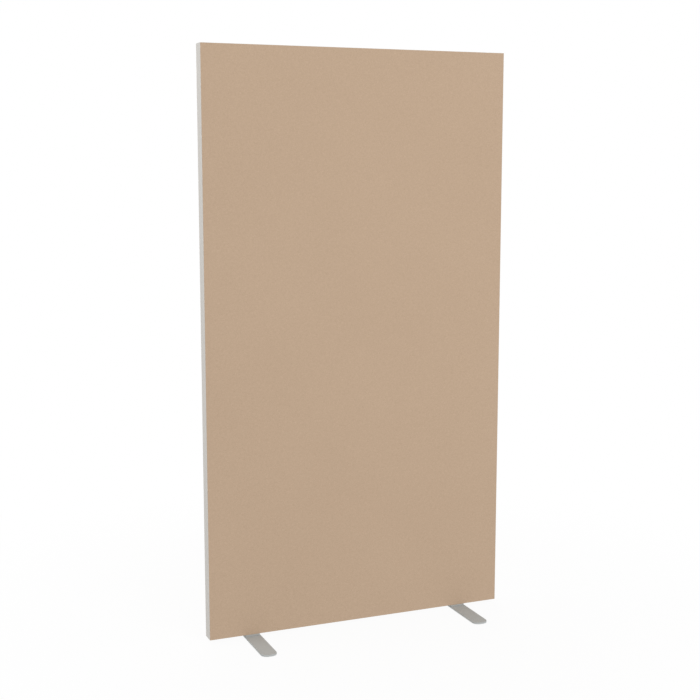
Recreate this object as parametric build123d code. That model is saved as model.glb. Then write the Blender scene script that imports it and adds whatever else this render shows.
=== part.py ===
from build123d import *
import os

# Free-standing fabric partition screen, in millimetres.
# X runs along the panel, Y through it with the front towards -Y, and Z is up.
# The origin is on the floor, midway under the panel.
# Four mitred aluminium bars make the frame. Each face has a fabric cover whose sewn-on
# rubber beads press into a groove of the bars, and two steel plates carry the panel.

# Driving dimensions of the panel
PANEL_WIDTH = 940.0
PANEL_HEIGHT = 1700.0
PANEL_DEPTH = 42.0

# Feet, with their places counted from the panel's sides to the middle of each plate
FOOT_INSET = 131.5
FOOT_LENGTH = 360.0
FOOT_WIDTH = 47.0
FOOT_THICKNESS = 5.0
FOOT_CORNER_RADIUS = 19.0
FOOT_EDGE_CHAMFER = 0.5

# Pads under the feet, with their places counted from the ends of the plate
PAD_DIAMETER = 28.0
PAD_THICKNESS = 2.0
PAD_FROM_END = 26.0

# Moulded blocks between the feet and the panel
SPACER_HEIGHT = 5.0
SPACER_DEPTH = 38.0
SPACER_MARGIN = 1.0
SPACER_CORNER_CHAMFER = 2.0

# Fabric covers, whose cut edge stays just inside the panel's sides, and the beads sewn to their hems
FABRIC_THICKNESS = 0.8
FABRIC_EDGE_INSET = 0.2
FABRIC_EDGE_CHAMFER = 0.3
FABRIC_CLEARANCE = 0.1
BEAD_WIDTH = 3.0
BEAD_NOSE_CHAMFER = 0.9
BEAD_CORNER_GAP = 5.0
GROOVE_SIDE_CLEARANCE = 0.2
GROOVE_FLOOR_CLEARANCE = 0.4

# Frame bar, whose section is measured from the panel's outer side inwards
OUTER_WALL = 1.6
OUTER_EDGE_RADIUS = 0.6
MIDDLE_WEB_DEPTH = 11.6
BOX_WIDTH = 16.0
BOX_WALL = 1.5
FIN_LENGTH = 7.0
FIN_WALL = 1.5
MITRE_GAP = 0.12

# Acoustic boards inside the frame
AIR_GAP = 7.7
BOARD_CLEARANCE = 0.3

# Corner keys and the grub screws that lock them in the bars
KEY_LEG = 62.0
KEY_CLEARANCE = 0.2
KEY_MIDDLE_WEB = 4.0
KEY_RIM = 2.2
KEY_BOSS = 10.0
KEY_TIP_CHAMFER = 1.5
KEY_SCREW_PLACE = 38.0
GRUB_DIAMETER = 5.0
GRUB_LENGTH = 8.0
GRUB_SOCKET = 2.5
GRUB_SOCKET_DEPTH = 3.0
GRUB_ACCESS_HOLE = 6.0

# Cross brace at mid height, its angle brackets and their hexagon-head screws
BRACE_HEIGHT = 20.0
BRACE_WALL = 1.5
BRACE_END_CLEARANCE = 0.5
BRACKET_LEG = 28.0
BRACKET_SIDE_CLEARANCE = 1.0
BRACKET_THICKNESS = 2.0
BRACKET_BEND_RADIUS = 1.5
BRACKET_NOTCH_CLEARANCE = 2.0
BRACE_SCREW_DIAMETER = 4.0
BRACE_SCREW_LENGTH = 9.0
BRACE_SCREW_ACROSS_FLATS = 7.0
BRACE_SCREW_HEAD_HEIGHT = 2.8
BRACE_SCREW_FROM_BEND = 17.0

# Countersunk foot screws and the tapped plates that they pull against
FOOT_SCREW_DIAMETER = 6.0
FOOT_SCREW_HEAD_DIAMETER = 11.5
FOOT_SCREW_HEAD_RECESS = 0.3
FOOT_SCREW_SOCKET = 4.0
FOOT_SCREW_SOCKET_DEPTH = 2.2
FOOT_SCREW_FROM_SPACER_END = 10.0
NUT_PLATE_THICKNESS = 5.0
NUT_PLATE_LENGTH = 60.0
NUT_PLATE_CLEARANCE = 1.0
NUT_PLATE_CHAMFER = 1.0

# Holes are larger than their screws by these all round
SCREW_HOLE_CLEARANCE = 0.25
THREAD_CLEARANCE = 0.05
CUT_OVERRUN = 1.0

# Places that follow from the sizes above
PANEL_BASE = PAD_THICKNESS + FOOT_THICKNESS + SPACER_HEIGHT
PANEL_TOP = PANEL_BASE + PANEL_HEIGHT
GROOVE_WIDTH = FABRIC_THICKNESS + BEAD_WIDTH + 2 * GROOVE_SIDE_CLEARANCE
BOX_START = OUTER_WALL + GROOVE_WIDTH
BOX_END = BOX_START + BOX_WIDTH
FRAME_DEPTH = PANEL_DEPTH - 2 * (FABRIC_THICKNESS + FABRIC_CLEARANCE)
CHAMBER_START = BOX_START + BOX_WALL
CHAMBER_END = BOX_END - BOX_WALL
CHAMBER_DEPTH = FRAME_DEPTH - 2 * BOX_WALL
SECTION_WIDTH = BOX_END + FIN_LENGTH
BOARD_DEPTH = PANEL_DEPTH - 2 * (FABRIC_THICKNESS + AIR_GAP)
FIN_SPACING = BOARD_DEPTH + 2 * BOARD_CLEARANCE
BRACKET_WIDTH = BOARD_DEPTH - 2 * BRACKET_SIDE_CLEARANCE
BEAD_DEPTH = (PANEL_DEPTH - MIDDLE_WEB_DEPTH) / 2 - FABRIC_THICKNESS - GROOVE_FLOOR_CLEARANCE
HEM_INSET = OUTER_WALL + GROOVE_SIDE_CLEARANCE
BRACE_LENGTH = PANEL_WIDTH - 2 * (BOX_END + BRACE_END_CLEARANCE)
BRACE_MIDDLE = (PANEL_BASE + PANEL_TOP) / 2
BRACE_UNDERSIDE = BRACE_MIDDLE - BRACE_HEIGHT / 2
FOOT_MIDDLE = PANEL_WIDTH / 2 - FOOT_INSET
SPACER_LENGTH = FOOT_WIDTH - 2 * SPACER_MARGIN
FOOT_SCREW_OFFSET = SPACER_LENGTH / 2 - FOOT_SCREW_FROM_SPACER_END
SIDES = (-1, 1)


def upright(sketch):
    """Turn a flat sketch so that its Y becomes height."""
    return Plane.XZ * sketch


def slab(start, end, depth):
    """Rectangle of the bar's section between two distances from the outer side."""
    return Pos((start + end) / 2, 0) * Rectangle(end - start, depth)


def frame_section():
    """Section of a frame bar: a flat outer wall, a groove at each face, a hollow box and two fins."""
    outer_wall = slab(0, OUTER_WALL, FRAME_DEPTH)
    outer_wall = fillet(outer_wall.vertices().group_by(Axis.X)[0], OUTER_EDGE_RADIUS)
    web = slab(OUTER_WALL, BOX_START, MIDDLE_WEB_DEPTH)
    box = slab(BOX_START, BOX_END, FRAME_DEPTH) - slab(CHAMBER_START, CHAMBER_END, CHAMBER_DEPTH)
    section = outer_wall + web + box
    for side in SIDES:
        fin_place = Pos(BOX_END + FIN_LENGTH / 2, side * (FIN_SPACING + FIN_WALL) / 2)
        section += fin_place * Rectangle(FIN_LENGTH, FIN_WALL)
    return section


def cross_hole(start, end, along, diameter):
    """Round cutter along a bar's inward direction, between two distances from its outer side."""
    length = end - start + 2 * CUT_OVERRUN
    return Pos((start + end) / 2, 0, along) * Rot(0, 90, 0) * Cylinder(diameter / 2, length)


def frame_bar(length):
    """Mitred bar along Z, its outer side on X = 0 and its inner side towards +X."""
    bar = extrude(frame_section(), amount=length / 2, both=True)
    end = length / 2 - MITRE_GAP
    inner = end - SECTION_WIDTH
    trapezium = Polyline((0, -end), (SECTION_WIDTH, -inner), (SECTION_WIDTH, inner), (0, end), close=True)
    bar &= extrude(upright(make_face(trapezium)), amount=PANEL_DEPTH, both=True)
    for side in SIDES:
        along = side * (length / 2 - CHAMBER_START - KEY_SCREW_PLACE)
        bar -= cross_hole(CHAMBER_END, BOX_END, along, GRUB_ACCESS_HOLE)
    return bar


def stile():
    """Upright bar, with the hole of the screw that holds its brace bracket."""
    height = -BRACE_HEIGHT / 2 - BRACE_SCREW_FROM_BEND
    hole = BRACE_SCREW_DIAMETER + 2 * THREAD_CLEARANCE
    return frame_bar(PANEL_HEIGHT) - cross_hole(CHAMBER_END, BOX_END, height, hole)


def bottom_rail():
    """Lower bar, with two screw holes over each foot."""
    bar = frame_bar(PANEL_WIDTH)
    hole = FOOT_SCREW_DIAMETER + 2 * SCREW_HOLE_CLEARANCE
    for place in foot_screw_places():
        bar -= cross_hole(0, CHAMBER_START, place, hole)
    return bar


def foot_screw_places():
    """Distances along X of the four foot screws."""
    return [foot * FOOT_MIDDLE + end * FOOT_SCREW_OFFSET for foot in SIDES for end in SIDES]


def corners():
    """Name, place and turn of each corner of the panel, for a piece made for the lower left one."""
    half = PANEL_WIDTH / 2
    return {
        "bottom_left": Pos(-half, 0, PANEL_BASE),
        "top_left": Pos(-half, 0, PANEL_TOP) * Rot(0, 90, 0),
        "top_right": Pos(half, 0, PANEL_TOP) * Rot(0, 180, 0),
        "bottom_right": Pos(half, 0, PANEL_BASE) * Rot(0, -90, 0),
    }


def key_outline():
    """Right-angled outline of a corner key, measured from the panel's outer corner."""
    low = CHAMBER_START + KEY_CLEARANCE
    high = CHAMBER_END - KEY_CLEARANCE
    tip = CHAMBER_START + KEY_LEG
    outline = make_face(
        Polyline((low, low), (tip, low), (tip, high), (high, high), (high, tip), (low, tip), close=True)
    )
    ends = outline.vertices().group_by(Axis.X)[-1] + outline.vertices().group_by(Axis.Y)[-1]
    return chamfer(ends, KEY_TIP_CHAMFER)


def key_pockets():
    """Openings that lighten one face of a corner key, between its rims and the bosses of its screws."""
    low = CHAMBER_START + KEY_CLEARANCE + KEY_RIM
    high = CHAMBER_END - KEY_CLEARANCE - KEY_RIM
    boss_start = CHAMBER_START + KEY_SCREW_PLACE - KEY_BOSS / 2
    tip = CHAMBER_START + KEY_LEG
    spans = ((high + KEY_RIM, boss_start), (boss_start + KEY_BOSS, tip - KEY_RIM))
    middle = (low + high) / 2
    pockets = Pos(middle, middle) * Rectangle(high - low, high - low)
    for start, end in spans:
        pockets += Pos((start + end) / 2, middle) * Rectangle(end - start, high - low)
        pockets += Pos(middle, (start + end) / 2) * Rectangle(high - low, end - start)
    return pockets


def corner_key():
    """Cast key for the lower left corner, pocketed from both faces and tapped in each leg."""
    half_depth = CHAMBER_DEPTH / 2 - KEY_CLEARANCE
    key = extrude(upright(key_outline()), amount=half_depth, both=True)
    for side in SIDES:
        pockets = extrude(upright(key_pockets()), amount=-side * half_depth)
        key -= Pos(0, side * KEY_MIDDLE_WEB / 2, 0) * pockets
    tapped = Cylinder(GRUB_DIAMETER / 2 + THREAD_CLEARANCE, 2 * CHAMBER_END)
    key -= Pos(CHAMBER_START + KEY_SCREW_PLACE, 0, 0) * tapped
    key -= Pos(0, 0, CHAMBER_START + KEY_SCREW_PLACE) * Rot(0, 90, 0) * tapped
    return key


def grub_screw():
    """Grub screw standing on its point at the origin, with a hexagon socket in its upper end."""
    screw = extrude(Circle(GRUB_DIAMETER / 2), amount=GRUB_LENGTH)
    socket = extrude(RegularPolygon(GRUB_SOCKET / 2, 6, major_radius=False), amount=GRUB_SOCKET_DEPTH)
    return screw - Pos(0, 0, GRUB_LENGTH - GRUB_SOCKET_DEPTH) * socket


def grub_screws():
    """The grub screws of all four corners, bearing on the outer wall of the bars' chambers."""
    screws = []
    along = CHAMBER_START + KEY_SCREW_PLACE
    for corner in corners().values():
        screws.append(corner * Pos(along, 0, CHAMBER_START) * grub_screw())
        screws.append(corner * Pos(CHAMBER_START, 0, along) * Rot(0, 90, 0) * grub_screw())
    return Compound(children=screws)


def brace_screw():
    """Hexagon-head screw pointing up, with the seat of its head on the origin."""
    hexagon = RegularPolygon(BRACE_SCREW_ACROSS_FLATS / 2, 6, major_radius=False)
    head = extrude(hexagon, amount=-BRACE_SCREW_HEAD_HEIGHT)
    return head + extrude(Circle(BRACE_SCREW_DIAMETER / 2), amount=BRACE_SCREW_LENGTH)


def brace_bracket():
    """Bent steel angle for the brace's left end, its bend on the origin and its legs along +X and -Z."""
    outline = make_face(
        Polyline(
            (0, 0),
            (BRACKET_LEG, 0),
            (BRACKET_LEG, -BRACKET_THICKNESS),
            (BRACKET_THICKNESS, -BRACKET_THICKNESS),
            (BRACKET_THICKNESS, -BRACKET_LEG),
            (0, -BRACKET_LEG),
            close=True,
        )
    )
    outside, inside = outline.vertices().sort_by_distance((0, 0, 0))[:2]
    outline = fillet(inside, BRACKET_BEND_RADIUS)
    outside = outline.vertices().sort_by_distance((0, 0, 0))[0]
    outline = fillet(outside, BRACKET_BEND_RADIUS + BRACKET_THICKNESS)
    bracket = extrude(upright(outline), amount=BRACKET_WIDTH / 2, both=True)
    hole = Cylinder(BRACE_SCREW_DIAMETER / 2 + SCREW_HOLE_CLEARANCE, 2 * BRACKET_THICKNESS + CUT_OVERRUN)
    bracket -= Pos(BRACE_SCREW_FROM_BEND, 0, 0) * hole
    return bracket - Pos(0, 0, -BRACE_SCREW_FROM_BEND) * Rot(0, 90, 0) * hole


def brace_ends():
    """Place and turn of the brace's two ends, for pieces made for the left one."""
    reach = PANEL_WIDTH / 2 - BOX_END
    return {
        "left": Pos(-reach, 0, BRACE_UNDERSIDE),
        "right": Pos(reach, 0, BRACE_UNDERSIDE) * Rot(0, 0, 180),
    }


def bracket_screws():
    """The screws of both brackets, one up into the brace and one across into the stile."""
    screws = []
    under_brace = Pos(BRACE_SCREW_FROM_BEND, 0, -BRACKET_THICKNESS)
    beside_stile = Pos(BRACKET_THICKNESS, 0, -BRACE_SCREW_FROM_BEND) * Rot(0, -90, 0)
    for end in brace_ends().values():
        screws.append(end * under_brace * brace_screw())
        screws.append(end * beside_stile * brace_screw())
    return Compound(children=screws)


def cross_brace():
    """Hollow bar between the stiles, as deep as the boards, with a screw hole under each end."""
    outside = Rectangle(BOARD_DEPTH, BRACE_HEIGHT)
    inside = Rectangle(BOARD_DEPTH - 2 * BRACE_WALL, BRACE_HEIGHT - 2 * BRACE_WALL)
    tube = extrude(Plane.YZ * (outside - inside), amount=BRACE_LENGTH / 2, both=True)
    brace = Pos(0, 0, BRACE_MIDDLE) * tube
    cutter = Cylinder(BRACE_SCREW_DIAMETER / 2 + THREAD_CLEARANCE, 2 * BRACE_WALL + CUT_OVERRUN)
    for end in brace_ends().values():
        brace -= end * Pos(BRACE_SCREW_FROM_BEND, 0, 0) * cutter
    return brace


def board(low, high):
    """Acoustic board between two heights, its side edges held between the stiles' fins."""
    width = PANEL_WIDTH - 2 * (BOX_END + BOARD_CLEARANCE)
    return Pos(0, 0, (low + high) / 2) * Box(width, BOARD_DEPTH, high - low)


def upper_board():
    """Board that stands on the brace."""
    low = BRACE_UNDERSIDE + BRACE_HEIGHT + BOARD_CLEARANCE
    return board(low, PANEL_TOP - BOX_END - BOARD_CLEARANCE)


def lower_board():
    """Board that stands on the bottom rail, notched round the brace's brackets."""
    high = BRACE_UNDERSIDE - BOARD_CLEARANCE
    piece = board(PANEL_BASE + BOX_END + BOARD_CLEARANCE, high)
    notch = 2 * (BRACKET_LEG + BRACKET_NOTCH_CLEARANCE)
    for end in brace_ends().values():
        piece -= end * Box(notch, BOARD_DEPTH + CUT_OVERRUN, notch)
    return piece


def hem_ring():
    """Hem behind a cover, as thick as the cloth and running down the grooves of the four bars."""
    width = PANEL_WIDTH - 2 * HEM_INSET
    height = PANEL_HEIGHT - 2 * HEM_INSET
    inside = Box(width - 2 * FABRIC_THICKNESS, BEAD_DEPTH, height - 2 * FABRIC_THICKNESS)
    return Box(width, BEAD_DEPTH, height) - inside


def fabric_cover(side):
    """Cover of one face: a flat sheet that reaches the panel's sides, with its hem sewn on behind."""
    sheet = Box(PANEL_WIDTH - 2 * FABRIC_EDGE_INSET, FABRIC_THICKNESS, PANEL_HEIGHT - 2 * FABRIC_EDGE_INSET)
    sheet = chamfer(sheet.faces().sort_by(Axis.Y)[0].edges(), FABRIC_EDGE_CHAMFER)
    cover = sheet + Pos(0, (FABRIC_THICKNESS + BEAD_DEPTH) / 2, 0) * hem_ring()
    turn = 0 if side < 0 else 180
    middle = (PANEL_BASE + PANEL_TOP) / 2
    return Pos(0, side * (PANEL_DEPTH - FABRIC_THICKNESS) / 2, middle) * Rot(0, 0, turn) * cover


def bead(length):
    """Rubber bead lying along X, its sewn edge at Y = 0 and its tapered nose towards +Y."""
    strip = Pos(0, BEAD_DEPTH / 2, BEAD_WIDTH / 2) * Box(length, BEAD_DEPTH, BEAD_WIDTH)
    nose = strip.faces().sort_by(Axis.Y)[-1].edges().filter_by(Axis.X)
    return chamfer(nose, BEAD_NOSE_CHAMFER)


def cover_beads(side):
    """The four beads of one cover by edge name, each ending short of the cover's corners."""
    inset = HEM_INSET + FABRIC_THICKNESS
    across = PANEL_WIDTH - 2 * (inset + BEAD_CORNER_GAP)
    up = PANEL_HEIGHT - 2 * (inset + BEAD_CORNER_GAP)
    face = side * (PANEL_DEPTH / 2 - FABRIC_THICKNESS)
    middle = (PANEL_BASE + PANEL_TOP) / 2
    places = {
        "bottom": (Pos(0, face, PANEL_BASE + inset), Rot(0, 0, 0), across),
        "top": (Pos(0, face, PANEL_TOP - inset), Rot(0, 180, 0), across),
        "left": (Pos(inset - PANEL_WIDTH / 2, face, middle), Rot(0, 90, 0), up),
        "right": (Pos(PANEL_WIDTH / 2 - inset, face, middle), Rot(0, -90, 0), up),
    }
    beads = {}
    for edge, (place, spin, length) in places.items():
        strip = spin * bead(length)
        beads[edge] = place * (strip if side < 0 else mirror(strip, Plane.XZ))
    return beads


def foot_plate(side):
    """Flat steel foot with round-cornered ends and two countersunk screw holes."""
    plate = extrude(RectangleRounded(FOOT_WIDTH, FOOT_LENGTH, FOOT_CORNER_RADIUS), amount=FOOT_THICKNESS)
    plate = chamfer(plate.faces().sort_by(Axis.Z)[-1].edges(), FOOT_EDGE_CHAMFER)
    for end in SIDES:
        plate -= Pos(end * FOOT_SCREW_OFFSET, 0, 0) * countersink()
    return Pos(side * FOOT_MIDDLE, 0, PAD_THICKNESS) * plate


def head_cone(low, growth):
    """Countersunk head's cone from a height up to the shank, larger all round by a growth."""
    wide = FOOT_SCREW_HEAD_DIAMETER / 2 + FOOT_SCREW_HEAD_RECESS - low + growth
    narrow = FOOT_SCREW_DIAMETER / 2 + growth
    return Pos(0, 0, low + (wide - narrow) / 2) * Cone(wide, narrow, wide - narrow)


def countersink():
    """Cutter of a foot plate's screw hole."""
    shank = Cylinder(FOOT_SCREW_DIAMETER / 2 + SCREW_HOLE_CLEARANCE, 2 * FOOT_THICKNESS + CUT_OVERRUN)
    return head_cone(-CUT_OVERRUN, THREAD_CLEARANCE) + shank


def foot_screw():
    """Countersunk screw from inside the foot up through spacer and rail to the tapped plate's top."""
    top = FOOT_THICKNESS + SPACER_HEIGHT + CHAMBER_START + NUT_PLATE_THICKNESS
    shank = Pos(0, 0, FOOT_SCREW_HEAD_RECESS) * extrude(
        Circle(FOOT_SCREW_DIAMETER / 2), amount=top - FOOT_SCREW_HEAD_RECESS
    )
    depth = FOOT_SCREW_HEAD_RECESS + FOOT_SCREW_SOCKET_DEPTH
    socket = extrude(RegularPolygon(FOOT_SCREW_SOCKET / 2, 6, major_radius=False), amount=depth)
    return head_cone(FOOT_SCREW_HEAD_RECESS, 0) + shank - socket


def foot_screws():
    """The four screws that hold the feet."""
    return Compound(children=[Pos(place, 0, PAD_THICKNESS) * foot_screw() for place in foot_screw_places()])


def foot_spacer(side):
    """Moulded block between a foot and the bottom rail, with one slot for both screws."""
    block = extrude(Rectangle(SPACER_LENGTH, SPACER_DEPTH), amount=SPACER_HEIGHT)
    block = chamfer(block.edges().filter_by(Axis.Z), SPACER_CORNER_CHAMFER)
    slot = SlotCenterToCenter(2 * FOOT_SCREW_OFFSET, FOOT_SCREW_DIAMETER + 2 * SCREW_HOLE_CLEARANCE)
    block -= extrude(slot, amount=SPACER_HEIGHT)
    return Pos(side * FOOT_MIDDLE, 0, PAD_THICKNESS + FOOT_THICKNESS) * block


def nut_plate(side):
    """Tapped steel plate on the floor of the bottom rail's chamber, over a foot."""
    depth = CHAMBER_DEPTH - 2 * NUT_PLATE_CLEARANCE
    plate = extrude(Rectangle(NUT_PLATE_LENGTH, depth), amount=NUT_PLATE_THICKNESS)
    plate = chamfer(plate.edges().filter_by(Axis.Z), NUT_PLATE_CHAMFER)
    tapped = Cylinder(FOOT_SCREW_DIAMETER / 2 + THREAD_CLEARANCE, 2 * NUT_PLATE_THICKNESS + CUT_OVERRUN)
    for end in SIDES:
        plate -= Pos(end * FOOT_SCREW_OFFSET, 0, 0) * tapped
    return Pos(side * FOOT_MIDDLE, 0, PANEL_BASE + CHAMBER_START) * plate


def foot_pads(side):
    """The two round rubber pads stuck under a foot, near its ends."""
    pad = extrude(Circle(PAD_DIAMETER / 2), amount=PAD_THICKNESS)
    reach = FOOT_LENGTH / 2 - PAD_FROM_END
    return Compound(children=[Pos(side * FOOT_MIDDLE, end * reach, 0) * pad for end in SIDES])


def frame_nodes():
    """Bars, corner keys and their screws."""
    half = PANEL_WIDTH / 2
    middle = (PANEL_BASE + PANEL_TOP) / 2
    nodes = {
        "left_stile": Pos(-half, 0, middle) * stile(),
        "right_stile": Pos(half, 0, middle) * Rot(0, 0, 180) * stile(),
        "top_rail": Pos(0, 0, PANEL_TOP) * Rot(0, 90, 0) * frame_bar(PANEL_WIDTH),
        "bottom_rail": Pos(0, 0, PANEL_BASE) * Rot(0, -90, 0) * bottom_rail(),
        "corner_key_screws": grub_screws(),
    }
    key = corner_key()
    for name, corner in corners().items():
        nodes[f"corner_key_{name}"] = corner * key
    return nodes


def inner_nodes():
    """Brace, brackets and acoustic boards."""
    nodes = {
        "cross_brace": cross_brace(),
        "brace_bracket_screws": bracket_screws(),
        "upper_acoustic_board": upper_board(),
        "lower_acoustic_board": lower_board(),
    }
    for name, end in brace_ends().items():
        nodes[f"brace_bracket_{name}"] = end * brace_bracket()
    return nodes


def cover_nodes():
    """Fabric of both faces and its beads."""
    nodes = {}
    for name, side in (("front", -1), ("back", 1)):
        nodes[f"{name}_fabric"] = fabric_cover(side)
        for edge, strip in cover_beads(side).items():
            nodes[f"{name}_bead_{edge}"] = strip
    return nodes


def foot_nodes():
    """Feet, spacers, tapped plates, pads and screws."""
    nodes = {"foot_screws": foot_screws()}
    for name, side in (("left", -1), ("right", 1)):
        nodes[f"{name}_foot"] = foot_plate(side)
        nodes[f"{name}_foot_spacer"] = foot_spacer(side)
        nodes[f"{name}_nut_plate"] = nut_plate(side)
        nodes[f"{name}_foot_pads"] = foot_pads(side)
    return nodes


os.makedirs("parts", exist_ok=True)
for make_nodes in (frame_nodes, inner_nodes, cover_nodes, foot_nodes):
    for node_name, shape in make_nodes().items():
        export_step(shape, f"parts/{node_name}.step")
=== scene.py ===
import bpy
import math
import numpy as np
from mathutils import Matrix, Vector


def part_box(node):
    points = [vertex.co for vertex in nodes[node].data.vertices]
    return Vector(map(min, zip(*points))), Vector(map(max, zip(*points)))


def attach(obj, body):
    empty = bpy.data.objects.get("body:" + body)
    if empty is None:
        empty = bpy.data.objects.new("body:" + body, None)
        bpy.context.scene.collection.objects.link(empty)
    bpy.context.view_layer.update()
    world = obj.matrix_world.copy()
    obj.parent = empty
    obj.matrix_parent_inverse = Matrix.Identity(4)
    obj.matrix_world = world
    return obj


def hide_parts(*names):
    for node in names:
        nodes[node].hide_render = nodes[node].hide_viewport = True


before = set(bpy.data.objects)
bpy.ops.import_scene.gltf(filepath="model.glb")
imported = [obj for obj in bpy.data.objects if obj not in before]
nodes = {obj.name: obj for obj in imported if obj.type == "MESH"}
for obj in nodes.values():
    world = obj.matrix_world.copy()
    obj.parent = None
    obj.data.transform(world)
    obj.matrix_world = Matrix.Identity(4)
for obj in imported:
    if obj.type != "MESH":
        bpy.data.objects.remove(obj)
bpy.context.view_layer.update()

# Names of CAD nodes
EDGE_NAMES = ("bottom", "left", "right", "top")
OUTER_BARS = ("left_stile", "right_stile", "top_rail", "bottom_rail")
CORNER_KEYS = tuple(f"corner_key_{end}_{side}" for end in ("bottom", "top") for side in ("left", "right"))
STEEL_PIECES = (
    "corner_key_screws",
    "brace_bracket_left",
    "brace_bracket_right",
    "brace_bracket_screws",
    "left_nut_plate",
    "right_nut_plate",
    "foot_screws",
)

# Camera, fitted to the panel's straight edges: place in metres, angles in degrees, lens and film in
# millimetres
CAMERA_PLACE = (-1.4676, -3.4824, 1.3939)
CAMERA_TURN = 22.567
CAMERA_TILT = 8.379
CAMERA_LENS = 66.15
CAMERA_FILM = 36.0

# Fabric covers, in metres: the cloth, its rolled edge, the hem's place behind the edge and its own edges,
# and the cloth's slack; and even steps across and up the cloth
CLOTH_THICKNESS = 0.0008
CLOTH_EDGE = 0.00035
CLOTH_LIP = 0.0016
HEM_TAPER = 0.00005
CLOTH_SLACK = 0.00025
CLOTH_STEPS = (61, 111)

# Weave: distance between yarns in metres, drift of the rows in yarns, and a yarn's roundness and wave as
# shares of the weave's height, whose middle comes last; the painted shading turns at that middle
YARN_PITCH = 0.0009
YARN_DRIFT = 0.8
YARN_ROUND = 0.6
YARN_WAVE = 0.4
YARN_MIDDLE = 0.72

# Noise of the yarns: how far apart two yarns lie in it, how fast the tone and the fibres change over a
# yarn, and the levels of the noise that warp and weft read
WARP_APART = 7.31
WEFT_APART = 5.17
TONE_ALONG = 0.11
FIBRES_ALONG = 1.3
FIBRES_ACROSS = 9.0
TONE_LEVELS = (0.0, 40.0)
FIBRE_LEVELS = (11.0, 23.0)

# Cloth's tone between its two colours: how far its height swings it, as painted shading that is lighter on
# the yarns' tops and darker down their sides and between them; how far the yarns' tones, the fibres and
# slow patches swing it; and the shares of height and fibres in the cloth's relief
PAINTED_SHADING_SWING = 0.5
TONE_SWING = 0.8
FIBRE_SWING = 0.5
PATCH_SWING = 0.08
RELIEF_SHARES = (0.85, 0.15)

# Darkest and palest tone of the powder coat, as shares of its colour; zinc's scratches, and the two ways
# that the felt's fibres lie, in patches to the metre along each axis
COAT_TONES = (0.93, 1.07)
SCRATCHES = (400.0, 6000.0, 6000.0)
FIBRES_UPRIGHT = (2400.0, 1500.0, 350.0)
FIBRES_LEVEL = (300.0, 1500.0, 2600.0)

# Waves of the cloth's slack: share, angle over half the width and over half the height, and start, in
# radians; and how steeply the slack dies out towards the sides and towards the top and bottom
SLACK_WAVES = ((1.0, 3.1, 1.3, 0.4), (1.0, 1.7, -6.3, 2.1), (0.6, 7.9, 9.7, 1.2), (0.4, -2.2, 11.3, 0.0))
SLACK_FADE = (8, 14)

# Felt boards, in metres, with the notch round the brace's brackets; and even steps across and up a board
FELT_EDGE = 0.003
FELT_WAVE = 0.0003
FELT_NOTCH = 0.03
FELT_STEPS = (61, 61)

# Rubber pads, in metres, and as shares of the radius the first ring round the middle and the ends of the
# hollow's flat part and of its slope
PAD_RIM = 0.0005
PAD_HOLLOW = 0.0003
PAD_RING_SHARE = 0.5
PAD_FLAT_SHARE = 0.7
PAD_SLOPE_SHARE = 0.78
PAD_POINTS_AROUND = 64

# Points along a rounded edge, the place beside it in widths of the edge, and the angle in degrees over
# which an edge is drawn sharp
ROUND_POINTS = 6
BESIDE_EDGE = 1.5
SHARP_ANGLE = 50

# Soft lamps: name, place, side in metres, power in watts; all face the same point of the screen. The
# surroundings and the floor's white part give less light than they show, by the share SURROUNDINGS
LAMPS = (
    ("front_lamp", (0.85, -4.3, 2.1), 3.0, 72.6),
    ("left_lamp", (-3.0, 0.5, 3.2), 2.0, 31.6),
    ("back_lamp", (1.0, 4.3, 2.2), 3.0, 58.4),
)
LAMP_AIM = (0.0, 0.0, 0.9)
SURROUNDINGS = 0.657
WHITE = (1.0, 1.0, 1.0, 1.0)

# Floor: half its side and the distances in metres between which it turns white, the share of white near
# the screen, and the two tones of its paint
FLOOR_REACH = 30.0
FLOOR_NEAR = 0.6
FLOOR_FAR = 1.8
FLOOR_WHITE = 0.93
FLOOR_DARK = (0.87, 0.87, 0.87, 1.0)
FLOOR_PALE = (0.89, 0.89, 0.89, 1.0)


def screen_colour(red, green, blue):
    """Linear colour of 0 to 255 screen values: over 12.92 up to 0.04045, and above it a power of 2.4."""
    values = np.array([red, green, blue]) / 255
    low = values / 12.92
    high = ((values + 0.055) / 1.055) ** 2.4
    return tuple(float(v) for v in np.where(values <= 0.04045, low, high)) + (1.0,)


class Wire:
    """A socket of a finish, on which Python's operators add Math nodes."""

    def __init__(self, finish, socket):
        self.finish = finish
        self.socket = socket

    def math(self, operation, *values):
        return self.finish.node("ShaderNodeMath", {"operation": operation}, dict(enumerate(values)))

    def __add__(self, other):
        return self.math("ADD", self, other)

    def __radd__(self, other):
        return self.math("ADD", other, self)

    def __sub__(self, other):
        return self.math("SUBTRACT", self, other)

    def __rsub__(self, other):
        return self.math("SUBTRACT", other, self)

    def __mul__(self, other):
        return self.math("MULTIPLY", self, other)

    def __rmul__(self, other):
        return self.math("MULTIPLY", other, self)

    def __truediv__(self, other):
        return self.math("DIVIDE", self, other)

    def __rtruediv__(self, other):
        return self.math("DIVIDE", other, self)

    def __pow__(self, other):
        return self.math("POWER", self, other)

    def __rpow__(self, other):
        return self.math("POWER", other, self)


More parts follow.
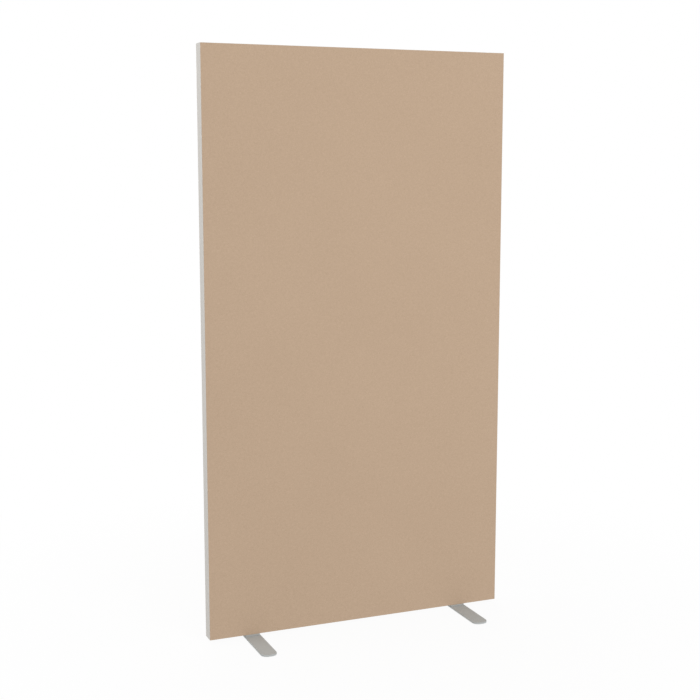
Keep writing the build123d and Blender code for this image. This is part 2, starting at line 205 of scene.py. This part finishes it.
class Finish:
    """The nodes of a material, or of the world, added from Python."""

    def __init__(self, name, holder=None):
        self.material = holder or bpy.data.materials.new(name)
        self.material.use_nodes = True
        self.tree = self.material.node_tree
        self.tree.nodes.clear()

    def node(self, kind, settings=None, inputs=None, output=0):
        """Add a node with its settings, then the values or wires of its sockets by name or number."""
        made = self.tree.nodes.new(kind)
        for name, value in (settings or {}).items():
            setattr(made, name, value)
        for key, value in (inputs or {}).items():
            if isinstance(value, Wire):
                self.tree.links.new(value.socket, made.inputs[key])
            else:
                made.inputs[key].default_value = value
        return Wire(self, made.outputs[output]) if made.outputs else None

    def blend(self, share, low, high):
        """Colour between two colours, by a share from 0 to 1. A Mix node's colours are its sockets 6 and 7
        and its output 2."""
        return self.node("ShaderNodeMix", {"data_type": "RGBA"}, {0: share, 6: low, 7: high}, 2)

    def place(self, kind="Object"):
        """Object coordinates, or the piece's own flat coordinates with UV."""
        return self.node("ShaderNodeTexCoord", output=kind)

    def part(self, where, axis):
        """One coordinate of a place."""
        return self.node("ShaderNodeSeparateXYZ", {}, {0: where}, axis)

    def joined(self, x, y, z):
        """Place with three coordinates."""
        return self.node("ShaderNodeCombineXYZ", {}, {0: x, 1: y, 2: z})

    def stretched(self, where, scale):
        """Coordinates multiplied by a number along each axis."""
        return self.node("ShaderNodeVectorMath", {"operation": "MULTIPLY"}, {0: where, 1: scale})

    def cloud(self, where, scale=1.0, detail=2.0, roughness=0.5):
        """Soft noise from 0 to 1, with so many patches to the metre."""
        values = {"Vector": where, "Scale": scale, "Detail": detail, "Roughness": roughness}
        return self.node("ShaderNodeTexNoise", {}, values)

    def uneven(self, middle, *swings):
        """Value that noises swing up and down: the middle, plus each noise less a half times its spread."""
        for noise, spread in swings:
            middle = middle + (noise - 0.5) * spread
        return middle

    def relief(self, height, depth, strength):
        """Normal of a surface that rises by a height from 0 to 1 times a depth in metres."""
        return self.node("ShaderNodeBump", {}, {"Strength": strength, "Distance": depth, "Height": height})

    def surface(self, **sockets):
        """Principled shader on the output, its sockets given by name with _ for a space."""
        inputs = {name.replace("_", " "): value for name, value in sockets.items()}
        shader = self.node("ShaderNodeBsdfPrincipled", {}, inputs)
        self.node("ShaderNodeOutputMaterial", {}, {"Surface": shader})
        return self.material


def woven_cloth():
    """Plain weave of matt yarns on the cloth's flat coordinates. A warp yarn's height is the root of 1 less
    the square of the place across it, plus a sine wave along it that turns over from one yarn to the next,
    and a weft yarn's is the same with the wave turned over. The higher of the two shows. Fibres run along
    each yarn, every yarn has its own tone, and slow noise keeps the rows from lying dead straight."""
    cloth = Finish("woven_panel_cloth")
    flat = cloth.place("UV")
    turned_over = cloth.stretched(flat, (1, -1, 1))
    across = cloth.part(flat, "X") / YARN_PITCH
    across = across + cloth.cloud(flat, scale=45.0, detail=1.0) * YARN_DRIFT
    along = cloth.part(flat, "Y") / YARN_PITCH
    along = along + cloth.cloud(turned_over, scale=45.0, detail=1.0) * YARN_DRIFT
    column, row = across.math("FLOOR", across), along.math("FLOOR", along)

    def yarn(place_across, number, place_along):
        side = (place_across - number) * 2 - 1
        wave = number.math("COSINE", number * math.pi) * number.math("SINE", place_along * math.pi)
        return (1 - side**2) ** 0.5 * YARN_ROUND, wave * YARN_WAVE

    warp_round, warp_wave = yarn(across, column, along)
    weft_round, weft_wave = yarn(along, row, across)
    warp, weft = warp_round + warp_wave, weft_round - weft_wave
    height = warp.math("MAXIMUM", warp, weft)
    warp_on_top = warp.math("GREATER_THAN", warp, weft)
    weft_on_top = 1 - warp_on_top
    warp_tone = cloth.joined(column * WARP_APART, along * TONE_ALONG, TONE_LEVELS[0])
    weft_tone = cloth.joined(across * TONE_ALONG, row * WEFT_APART, TONE_LEVELS[1])
    tone = cloth.cloud(warp_tone, detail=3.0) * warp_on_top
    tone = tone + cloth.cloud(weft_tone, detail=3.0) * weft_on_top
    warp_fibres = cloth.joined(across * FIBRES_ACROSS, along * FIBRES_ALONG, FIBRE_LEVELS[0])
    weft_fibres = cloth.joined(across * FIBRES_ALONG, along * FIBRES_ACROSS, FIBRE_LEVELS[1])
    fibres = cloth.cloud(warp_fibres) * warp_on_top + cloth.cloud(weft_fibres) * weft_on_top
    patch = cloth.cloud(flat, scale=3.0)
    # Painted shading: lighter where the weave is high, darker down the yarns' sides and between them
    painted_yarn_shading = 0.5 + (height - YARN_MIDDLE) * PAINTED_SHADING_SWING
    share = cloth.uneven(painted_yarn_shading, (tone, TONE_SWING), (fibres, FIBRE_SWING), (patch, PATCH_SWING))
    raised = height * RELIEF_SHARES[0] + fibres * RELIEF_SHARES[1]
    return cloth.surface(
        Base_Color=cloth.blend(share, screen_colour(165, 138, 114), screen_colour(220, 194, 167)),
        Roughness=0.92,
        Normal=cloth.relief(raised, depth=0.0004, strength=0.6),
        Sheen_Weight=0.08,
        Sheen_Roughness=0.5,
        Specular_IOR_Level=0.25,
    )


def powder_coat(name, colour, roughness):
    """Baked powder paint: fine rolling orange peel, faint speckle and a slightly uneven gloss."""
    coat = Finish(name)
    where = coat.place()
    peel = coat.cloud(where, scale=900.0)
    speckle = coat.cloud(where, scale=4200.0, detail=1.0)
    broad = coat.cloud(where, scale=6.0)
    dark, pale = [tuple(min(1.0, tone * c) for c in colour[:3]) + (1.0,) for tone in COAT_TONES]
    return coat.surface(
        Base_Color=coat.blend(coat.uneven(0.5, (speckle, 0.5), (broad, 0.3)), dark, pale),
        Roughness=coat.uneven(roughness, (peel, 0.08), (broad, 0.06)),
        Normal=coat.relief(peel, depth=0.00006, strength=0.5),
    )


def cast_aluminium():
    """Sand-cast aluminium: a coarse grain and faint cloudy stains."""
    cast = Finish("cast_aluminium")
    where = cast.place()
    grain = cast.cloud(where, scale=1600.0, detail=4.0, roughness=0.6)
    stain = cast.cloud(where, scale=60.0, detail=3.0)
    return cast.surface(
        Base_Color=cast.blend(stain, screen_colour(150, 152, 155), screen_colour(186, 188, 190)),
        Metallic=1.0,
        Roughness=cast.uneven(0.55, (grain, 0.3)),
        Normal=cast.relief(grain, depth=0.00012, strength=0.7),
    )


def zinc_plate():
    """Bright zinc on steel: flat crystals of slightly different grey and gloss, with fine scratches."""
    zinc = Finish("zinc_plated_steel")
    where = zinc.place()
    crystals = zinc.node("ShaderNodeTexVoronoi", {}, {"Vector": where, "Scale": 700.0}, "Color")
    tone = zinc.node("ShaderNodeSeparateColor", {}, {0: crystals})
    scratch = zinc.cloud(zinc.stretched(where, SCRATCHES))
    return zinc.surface(
        Base_Color=zinc.blend(tone, screen_colour(168, 171, 174), screen_colour(196, 198, 200)),
        Metallic=1.0,
        Roughness=0.28 + tone * 0.14,
        Normal=zinc.relief(scratch, depth=0.00002, strength=0.4),
    )


def rubber(name, dark, pale, roughness):
    """Moulded rubber: a dull skin with a fine grain and a little bloom."""
    skin = Finish(name)
    where = skin.place()
    grain = skin.cloud(where, scale=2600.0, detail=3.0)
    bloom = skin.cloud(where, scale=120.0, detail=3.0)
    return skin.surface(
        Base_Color=skin.blend(bloom, dark, pale),
        Roughness=skin.uneven(roughness, (grain, 0.12)),
        Normal=skin.relief(grain, depth=0.00005, strength=0.5),
    )


def moulded_plastic():
    """Matt moulded plastic with an even spark-eroded texture."""
    plastic = Finish("grey_moulded_plastic")
    where = plastic.place()
    grain = plastic.cloud(where, scale=3200.0)
    flow = plastic.cloud(where, scale=90.0)
    return plastic.surface(
        Base_Color=plastic.blend(flow, screen_colour(180, 179, 175), screen_colour(190, 189, 185)),
        Roughness=plastic.uneven(0.55, (grain, 0.15)),
        Normal=plastic.relief(grain, depth=0.00006, strength=0.6),
    )


def pressed_felt():
    """Pressed fibres: long thin streaks crossing each other, in a mottled grey."""
    felt = Finish("pressed_felt")
    where = felt.place()
    level = felt.cloud(felt.stretched(where, FIBRES_LEVEL), detail=3.0)
    upright = felt.cloud(felt.stretched(where, FIBRES_UPRIGHT), detail=3.0)
    patch = felt.cloud(where, scale=25.0, detail=3.0)
    fibres = level.math("MAXIMUM", level, upright)
    share = felt.uneven(fibres * 1.2 - 0.2, (patch, 0.4))
    return felt.surface(
        Base_Color=felt.blend(share, screen_colour(82, 83, 86), screen_colour(150, 151, 152)),
        Roughness=0.95,
        Normal=felt.relief(fibres, depth=0.0005, strength=0.8),
        Sheen_Weight=0.15,
        Sheen_Roughness=0.6,
    )


def layered_mesh(name, outer, inner, kept, flat=None):
    """Closed mesh between two grids of points: a square of each layer for every kept cell, the inner ones
    turned over, and a wall between the layers wherever a kept cell has no kept neighbour."""
    rows, columns = outer.shape[:2]
    number = np.arange(rows * columns).reshape(rows, columns)
    below = rows * columns
    a, b, c, d = number[:-1, :-1], number[1:, :-1], number[1:, 1:], number[:-1, 1:]
    quads = [np.stack([a, b, c, d], -1)[kept]]
    quads.append(quads[0][:, ::-1] + below)
    padded = np.pad(kept, 1)
    sides = (
        (padded[:-2, 1:-1], a, d),
        (padded[2:, 1:-1], c, b),
        (padded[1:-1, :-2], b, a),
        (padded[1:-1, 2:], d, c),
    )
    for neighbour, start, end in sides:
        open_side = kept & ~neighbour
        s, e = start[open_side], end[open_side]
        quads.append(np.stack([s, e, e + below, s + below], -1))
    faces = np.concatenate(quads)
    points = np.concatenate([outer.reshape(-1, 3), inner.reshape(-1, 3)])
    used = np.unique(faces)
    renumber = np.zeros(len(points), int)
    renumber[used] = np.arange(len(used))
    mesh = bpy.data.meshes.new(name)
    mesh.from_pydata(points[used], [], renumber[faces])
    if flat is not None:
        corners = np.concatenate([flat.reshape(-1, 2)] * 2)[faces.ravel()]
        mesh.uv_layers.new(name="flat").data.foreach_set("uv", corners.astype(np.float32).ravel())
    mesh.update()
    return mesh


def piece_of(name, mesh, material, slot, *replaced):
    """Show a mesh as a piece of the screen that stands for CAD nodes and takes one finish."""
    mesh.polygons.foreach_set("use_smooth", np.ones(len(mesh.polygons), bool))
    mesh.set_sharp_from_angle(angle=math.radians(SHARP_ANGLE))
    mesh.materials.append(material)
    piece = bpy.data.objects.new(name, mesh)
    bpy.context.scene.collection.objects.link(piece)
    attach(piece, "root")
    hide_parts(*replaced)
    return piece


def stations(half, edge, steps, cuts=()):
    """Places along one direction of a flat piece, from -half to half: even steps between its rolled edges,
    places along each roll that follow a cosine, one beside it that keeps the flat part flat, and cuts."""
    quarter_turn = np.linspace(0, 1, ROUND_POINTS) * math.pi / 2
    roll = edge * np.append(1 - np.cos(quarter_turn), BESIDE_EDGE)
    inside = np.linspace(2 * edge - half, half - 2 * edge, steps)
    return np.unique(np.concatenate([roll - half, half - roll, inside, cuts]))


def drawn_in(x, z, half_width, half_height, edge):
    """How far the faces of a flat piece draw in near its outline: from nothing at a distance of edge inside
    it, along a quarter circle, to edge at the outline."""
    inset = np.minimum(half_width - np.abs(x), half_height - np.abs(z))
    near = 1 - np.clip(inset / edge, 0, 1)
    return edge * (1 - np.sqrt(1 - near**2))


def tension(width, height):
    """Slack of the stretched cloth from 0 to 1 over the panel: a few slow sine waves added up, each by its
    share, that die out at the edges."""
    steep_width, steep_height = SLACK_FADE
    fade = np.clip((1 - np.abs(width)) * steep_width, 0, 1)
    fade = fade * np.clip((1 - np.abs(height)) * steep_height, 0, 1)
    waves = sum(share * np.sin(x * width + z * height + start) for share, x, z, start in SLACK_WAVES)
    highest = sum(share for share, x, z, start in SLACK_WAVES)
    return fade * (waves + highest) / (2 * highest)


def cover(face):
    """Stretched cover of the front or back: two flat layers a cloth's thickness apart that close round its
    edge, the inner one stepping back into a hem wherever it is between two rectangles behind the edge."""
    side = -1 if face == "front" else 1
    low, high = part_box(face + "_fabric")
    middle = (low + high) / 2
    half_width, half_height = (high.x - low.x) / 2, (high.z - low.z) / 2
    depth = high.y - low.y
    hem = np.array([0, HEM_TAPER, CLOTH_THICKNESS - HEM_TAPER, CLOTH_THICKNESS]) + CLOTH_LIP
    hem_across, hem_up = [np.concatenate([hem - half, half - hem]) for half in (half_width, half_height)]
    x = stations(half_width, CLOTH_EDGE, CLOTH_STEPS[0], hem_across)
    z = stations(half_height, CLOTH_EDGE, CLOTH_STEPS[1], hem_up)
    x_grid, z_grid = np.meshgrid(x, z, indexing="ij")
    behind_edge = np.minimum(half_width - np.abs(x_grid), half_height - np.abs(z_grid))
    in_hem = (behind_edge > hem[:2].mean()) & (behind_edge < hem[2:].mean())
    slack = CLOTH_SLACK * tension(x_grid / half_width, z_grid / half_height)
    roll = drawn_in(x_grid, z_grid, half_width, half_height, CLOTH_EDGE)
    outer = roll + slack
    inner = np.where(in_hem, depth, CLOTH_THICKNESS - roll + slack)
    front = low.y if side < 0 else high.y
    x_placed, z_placed = middle.x - side * x_grid, middle.z + z_grid
    layers = [np.stack([x_placed, front - side * behind, z_placed], -1) for behind in (outer, inner)]
    kept = np.ones((len(x) - 1, len(z) - 1), bool)
    mesh = layered_mesh(face + "_cover", *layers, kept, np.stack([x_grid, z_grid], -1))
    piece = piece_of(face + "_cover", mesh, cloth, "woven_fabric", face + "_fabric")


def felt_board(name, notch):
    """Felt board: two faces a thickness apart that wave a little and draw in at the edges, with a square of
    the notch's side left out at its two upper corners, where brackets pass."""
    low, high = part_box(name)
    middle = (low + high) / 2
    half_width, half_height = (high.x - low.x) / 2, (high.z - low.z) / 2
    half_depth = (high.y - low.y) / 2
    cuts_across = [notch - half_width, half_width - notch] if notch else []
    cut_up = [half_height - notch] if notch else []
    x = stations(half_width, FELT_EDGE, FELT_STEPS[0], cuts_across)
    z = stations(half_height, FELT_EDGE, FELT_STEPS[1], cut_up)
    x_grid, z_grid = np.meshgrid(x, z, indexing="ij")
    thick = half_depth - drawn_in(x_grid, z_grid, half_width, half_height, FELT_EDGE)
    thick = thick - FELT_WAVE * tension(x_grid / half_width, z_grid / half_height)
    kept = np.ones((len(x) - 1, len(z) - 1), bool)
    if notch:
        outside = np.abs((x[1:] + x[:-1]) / 2) > half_width - notch
        above = (z[1:] + z[:-1]) / 2 > half_height - notch
        kept[np.ix_(outside, above)] = False
    x_placed, z_placed = x_grid + middle.x, z_grid + middle.z
    layers = [np.stack([x_placed, middle.y + side * thick, z_placed], -1) for side in (-1, 1)]
    mesh = layered_mesh(name + "_felt", *layers, kept)
    piece = piece_of(name + "_felt", mesh, felt, "acoustic_felt", name)


def turned(profile, centres):
    """Closed round bodies: a profile of radius and height is carried round a vertical axis at each centre,
    with a single point at both ends, where the radius is 0."""
    count = PAD_POINTS_AROUND
    around = np.linspace(0, 2 * math.pi, count, endpoint=False)
    radius, height = profile[1:-1].T
    across, along = np.outer(radius, np.cos(around)), np.outer(radius, np.sin(around))
    rings = np.stack([across, along, np.outer(height, np.ones(count))], -1)
    body = np.concatenate([rings.reshape(-1, 3), [[0, 0, profile[0, 1]], [0, 0, profile[-1, 1]]]])
    number = np.arange(len(radius) * count).reshape(-1, count)
    after = np.roll(number, -1, axis=1)
    quads = np.stack([number[:-1], after[:-1], after[1:], number[1:]], -1).reshape(-1, 4)
    last = len(body) - 1
    first_fan = np.stack([np.full(count, last - 1), after[0], number[0]], -1)
    last_fan = np.stack([np.full(count, last), number[-1], after[-1]], -1)
    points = np.concatenate([body + centre for centre in centres])
    faces = []
    for k in range(len(centres)):
        faces += [f for group in (quads, first_fan, last_fan) for f in (group + k * len(body)).tolist()]
    return points, faces


def foot_pad_pair(side):
    """The two rubber pads of a foot: flat discs with rounded rims and a shallow hollow underneath."""
    name = side + "_foot_pads"
    low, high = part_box(name)
    radius, thickness = (high.x - low.x) / 2, high.z - low.z
    ring, flat, slope = [radius * share for share in (PAD_RING_SHARE, PAD_FLAT_SHARE, PAD_SLOPE_SHARE)]
    bend = np.linspace(0, math.pi / 2, ROUND_POINTS)
    sine, sag = PAD_RIM * np.sin(bend), PAD_RIM * (1 - np.cos(bend))
    hollow = [[0, PAD_HOLLOW], [ring, PAD_HOLLOW], [flat, PAD_HOLLOW], [slope, 0]]
    lower_rim = np.stack([radius - PAD_RIM + sine, sag], -1)
    upper_rim = np.stack([radius - sag, thickness - PAD_RIM + sine], -1)
    profile = np.concatenate([hollow, lower_rim, upper_rim, [[ring, thickness], [0, thickness]]])
    middle = (low.x + high.x) / 2
    centres = [Vector((middle, y, low.z)) for y in (low.y + radius, high.y - radius)]
    points, faces = turned(profile, centres)
    mesh = bpy.data.meshes.new(name)
    mesh.from_pydata(points, [], faces)
    mesh.update()
    piece_of(side + "_rubber_pads", mesh, pad_rubber, "pad_rubber", name)


def finish_node(material, *names):
    """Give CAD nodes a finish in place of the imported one."""
    for name in names:
        slots = nodes[name].data.materials
        slots.clear()
        slots.append(material)


def camera():
    """Camera of the photograph."""
    data = bpy.data.cameras.new("camera")
    data.lens = CAMERA_LENS
    data.sensor_width = CAMERA_FILM
    made = bpy.data.objects.new("camera", data)
    made.location = CAMERA_PLACE
    made.rotation_euler = (math.radians(90 - CAMERA_TILT), 0, math.radians(-CAMERA_TURN))
    bpy.context.scene.collection.objects.link(made)
    bpy.context.scene.camera = made


def seen_directly(finish):
    """1 for rays that show the surface itself, straight on or in a reflection or through glass, and 0 for
    light."""
    rays = ("Is Camera Ray", "Is Glossy Ray", "Is Transmission Ray")
    straight, reflected, through = [finish.node("ShaderNodeLightPath", output=ray) for ray in rays]
    return straight.math("MAXIMUM", straight.math("MAXIMUM", straight, reflected), through)


def white_light(finish):
    """Strength of the white round the screen: 1 where it is seen, and less in the light that it gives."""
    return SURROUNDINGS + seen_directly(finish) * (1 - SURROUNDINGS)


def floor():
    """Pale floor that keeps the screen's shadow near it and turns to plain white further away. Its white
    part gives as much light as the surroundings, so the cloth is lit evenly down to its lower edge."""
    white = Finish("pale_floor")
    where = white.place()
    away = white.node("ShaderNodeVectorMath", {"operation": "LENGTH"}, {0: where}, "Value")
    distances = {"Value": away, "From Min": FLOOR_NEAR, "From Max": FLOOR_FAR}
    far = white.node("ShaderNodeMapRange", {"interpolation_type": "SMOOTHSTEP"}, distances)
    paint = white.blend(white.cloud(where, scale=40.0), FLOOR_DARK, FLOOR_PALE)
    lit = white.node("ShaderNodeBsdfDiffuse", {}, {"Color": paint})
    plain = white.node("ShaderNodeEmission", {}, {"Color": WHITE, "Strength": white_light(white)})
    share = FLOOR_WHITE + far * (1 - FLOOR_WHITE)
    mixed = white.node("ShaderNodeMixShader", {}, {0: share, 1: lit, 2: plain})
    white.node("ShaderNodeOutputMaterial", {}, {"Surface": mixed})
    corners = [(x * FLOOR_REACH, y * FLOOR_REACH, 0) for x, y in ((-1, -1), (1, -1), (1, 1), (-1, 1))]
    mesh = bpy.data.meshes.new("floor")
    mesh.from_pydata(corners, [], [(0, 1, 2, 3)])
    mesh.materials.append(white.material)
    made = bpy.data.objects.new("floor", mesh)
    bpy.context.scene.collection.objects.link(made)


def lamp(name, place, size, power):
    """Soft square lamp at a place, turned to the screen."""
    data = bpy.data.lights.new(name, "AREA")
    data.size = size
    data.energy = power
    made = bpy.data.objects.new(name, data)
    made.location = place
    made.rotation_euler = (Vector(LAMP_AIM) - Vector(place)).to_track_quat("-Z", "Y").to_euler()
    bpy.context.scene.collection.objects.link(made)


def studio():
    """Plain white surroundings, and soft lamps in front, on the left and behind."""
    world = bpy.data.worlds.new("studio")
    bpy.context.scene.world = world
    sky = Finish("studio", world)
    light = sky.node("ShaderNodeBackground", {}, {"Color": WHITE, "Strength": white_light(sky)})
    sky.node("ShaderNodeOutputWorld", {}, {"Surface": light})
    for settings in LAMPS:
        lamp(*settings)


bpy.context.scene.view_settings.view_transform = "Standard"
camera()
studio()
floor()

cloth = woven_cloth()
felt = pressed_felt()
pad_rubber = rubber("black_pad_rubber", screen_colour(38, 38, 39), screen_colour(52, 52, 53), 0.75)

for face in ("front", "back"):
    cover(face)
felt_board("upper_acoustic_board", 0)
felt_board("lower_acoustic_board", FELT_NOTCH)
for side in ("left", "right"):
    foot_pad_pair(side)

frame_coat = powder_coat("silver_grey_frame_coat", screen_colour(209, 205, 199), 0.5)
foot_coat = powder_coat("silver_grey_foot_coat", screen_colour(183, 186, 185), 0.6)
bead_rubber = rubber("pale_bead_rubber", screen_colour(205, 204, 200), screen_colour(220, 219, 215), 0.6)
finish_node(frame_coat, *OUTER_BARS, "cross_brace")
finish_node(foot_coat, "left_foot", "right_foot")
finish_node(cast_aluminium(), *CORNER_KEYS)
finish_node(zinc_plate(), *STEEL_PIECES)
finish_node(bead_rubber, *[f"{face}_bead_{edge}" for face in ("front", "back") for edge in EDGE_NAMES])
finish_node(moulded_plastic(), "left_foot_spacer", "right_foot_spacer")
